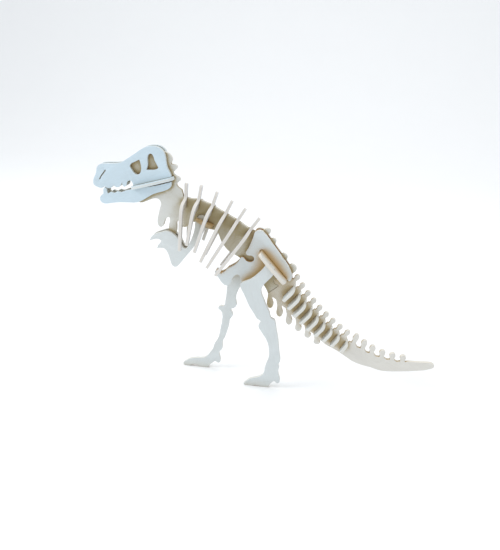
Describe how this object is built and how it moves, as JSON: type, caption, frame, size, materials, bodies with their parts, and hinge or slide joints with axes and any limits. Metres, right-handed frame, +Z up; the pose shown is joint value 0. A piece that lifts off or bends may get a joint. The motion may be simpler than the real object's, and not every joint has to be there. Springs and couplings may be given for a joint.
{
  "type": "wooden dinosaur skeleton puzzle",
  "caption": "Slot-together model of a standing tyrannosaur skeleton, cut from flat white board: spine and tail plates with ribs, tail vertebrae, head, arms, pelvis and legs.",
  "frame": {"origin": "on the ground, at the middle of the model's length, in the spine plate's middle plane", "axes": "+X runs from the head to the tail, +Z is up from the ground, -Y is the animal's left side"},
  "size_m": [0.342, 0.0378, 0.25],
  "materials": {
    "spine_board": "matt white-painted board, warm in the recesses",
    "tail_board": "matt white-painted board, slightly warm",
    "cross_board": "matt white-painted board",
    "head_board": "matt white-painted board, slightly cool",
    "rib_board": "matt white-painted board",
    "vertebra_board": "matt white-painted board",
    "pelvis_board": "matt white-painted board",
    "limb_board": "matt white-painted board"
  },
  "bodies": {
    "spine": {"spine_plate": "spine_board", "tail_plate": "tail_board", "shoulder_plate": "cross_board", "hip_shelf": "cross_board"},
    "palate": {"palate_plate": "head_board"},
    "head_left": {"head_side_left": "head_board"},
    "head_right": {"head_side_right": "head_board"},
    "rib_1": {"rib_1": "rib_board"},
    "rib_2": {"rib_2": "rib_board"},
    "rib_3": {"rib_3": "rib_board"},
    "rib_4": {"rib_4": "rib_board"},
    "rib_5": {"rib_5": "rib_board"},
    "rib_6": {"rib_6": "rib_board"},
    "arm_left": {"arm_left": "limb_board"},
    "pelvis_left": {"pelvis_side_left": "pelvis_board"},
    "leg_left": {"leg_left": "limb_board"},
    "arm_right": {"arm_right": "limb_board"},
    "pelvis_right": {"pelvis_side_right": "pelvis_board"},
    "leg_right": {"leg_right": "limb_board"},
    "vertebra_1": {"tail_vertebra_1": "vertebra_board"},
    "vertebra_2": {"tail_vertebra_2": "vertebra_board"},
    "vertebra_3": {"tail_vertebra_3": "vertebra_board"},
    "vertebra_4": {"tail_vertebra_4": "vertebra_board"},
    "vertebra_5": {"tail_vertebra_5": "vertebra_board"},
    "vertebra_6": {"tail_vertebra_6": "vertebra_board"},
    "vertebra_7": {"tail_vertebra_7": "vertebra_board"},
    "vertebra_8": {"tail_vertebra_8": "vertebra_board"},
    "vertebra_9": {"tail_vertebra_9": "vertebra_board"}
  },
  "joints": [
    {"name": "palate_slide", "type": "slide", "parent": "spine", "child": "palate", "axis": [-0.9674, 0, -0.2534], "range_m": [0, 0.042]},
    {"name": "head_left_slide", "type": "slide", "parent": "palate", "child": "head_left", "axis": [-0.9674, 0, -0.2534], "range_m": [0, 0.042]},
    {"name": "head_right_slide", "type": "slide", "parent": "palate", "child": "head_right", "axis": [-0.9674, 0, -0.2534], "range_m": [0, 0.042]},
    {"name": "rib_1_lift", "type": "slide", "parent": "spine", "child": "rib_1", "axis": [0.0958, 0, 0.9954], "range_m": [0, 0.012]},
    {"name": "rib_2_lift", "type": "slide", "parent": "spine", "child": "rib_2", "axis": [0.225, 0, 0.9744], "range_m": [0, 0.012]},
    {"name": "rib_3_lift", "type": "slide", "parent": "spine", "child": "rib_3", "axis": [0.342, 0, 0.9397], "range_m": [0, 0.012]},
    {"name": "rib_4_lift", "type": "slide", "parent": "spine", "child": "rib_4", "axis": [0.454, 0, 0.891], "range_m": [0, 0.012]},
    {"name": "rib_5_lift", "type": "slide", "parent": "spine", "child": "rib_5", "axis": [0.5299, 0, 0.848], "range_m": [0, 0.012]},
    {"name": "rib_6_lift", "type": "slide", "parent": "spine", "child": "rib_6", "axis": [0.5878, 0, 0.809], "range_m": [0, 0.012]},
    {"name": "arm_left_slide", "type": "slide", "parent": "spine", "child": "arm_left", "axis": [-0.9055, 0, 0.4244], "range_m": [0, 0.012]},
    {"name": "arm_right_slide", "type": "slide", "parent": "spine", "child": "arm_right", "axis": [-0.9055, 0, 0.4244], "range_m": [0, 0.012]},
    {"name": "pelvis_left_slide", "type": "slide", "parent": "spine", "child": "pelvis_left", "axis": [0, -1, 0], "range_m": [0, 0.005]},
    {"name": "pelvis_right_slide", "type": "slide", "parent": "spine", "child": "pelvis_right", "axis": [0, 1, 0], "range_m": [0, 0.005]},
    {"name": "leg_left_drop", "type": "slide", "parent": "spine", "child": "leg_left", "axis": [-0.7682, 0, -0.6402], "range_m": [0, 0.008]},
    {"name": "leg_right_drop", "type": "slide", "parent": "spine", "child": "leg_right", "axis": [-0.7682, 0, -0.6402], "range_m": [0, 0.008]},
    {"name": "vertebra_1_lift", "type": "slide", "parent": "spine", "child": "vertebra_1", "axis": [0.6293, 0, 0.7771], "range_m": [0, 0.01]},
    {"name": "vertebra_2_lift", "type": "slide", "parent": "spine", "child": "vertebra_2", "axis": [0.6293, 0, 0.7771], "range_m": [0, 0.01]},
    {"name": "vertebra_3_lift", "type": "slide", "parent": "spine", "child": "vertebra_3", "axis": [0.6293, 0, 0.7771], "range_m": [0, 0.01]},
    {"name": "vertebra_4_lift", "type": "slide", "parent": "spine", "child": "vertebra_4", "axis": [0.6157, 0, 0.788], "range_m": [0, 0.01]},
    {"name": "vertebra_5_lift", "type": "slide", "parent": "spine", "child": "vertebra_5", "axis": [0.6018, 0, 0.7986], "range_m": [0, 0.01]},
    {"name": "vertebra_6_lift", "type": "slide", "parent": "spine", "child": "vertebra_6", "axis": [0.5878, 0, 0.809], "range_m": [0, 0.01]},
    {"name": "vertebra_7_lift", "type": "slide", "parent": "spine", "child": "vertebra_7", "axis": [0.5736, 0, 0.8192], "range_m": [0, 0.01]},
    {"name": "vertebra_8_lift", "type": "slide", "parent": "spine", "child": "vertebra_8", "axis": [0.5592, 0, 0.829], "range_m": [0, 0.01]},
    {"name": "vertebra_9_lift", "type": "slide", "parent": "spine", "child": "vertebra_9", "axis": [0.515, 0, 0.8572], "range_m": [0, 0.01]}
  ]
}
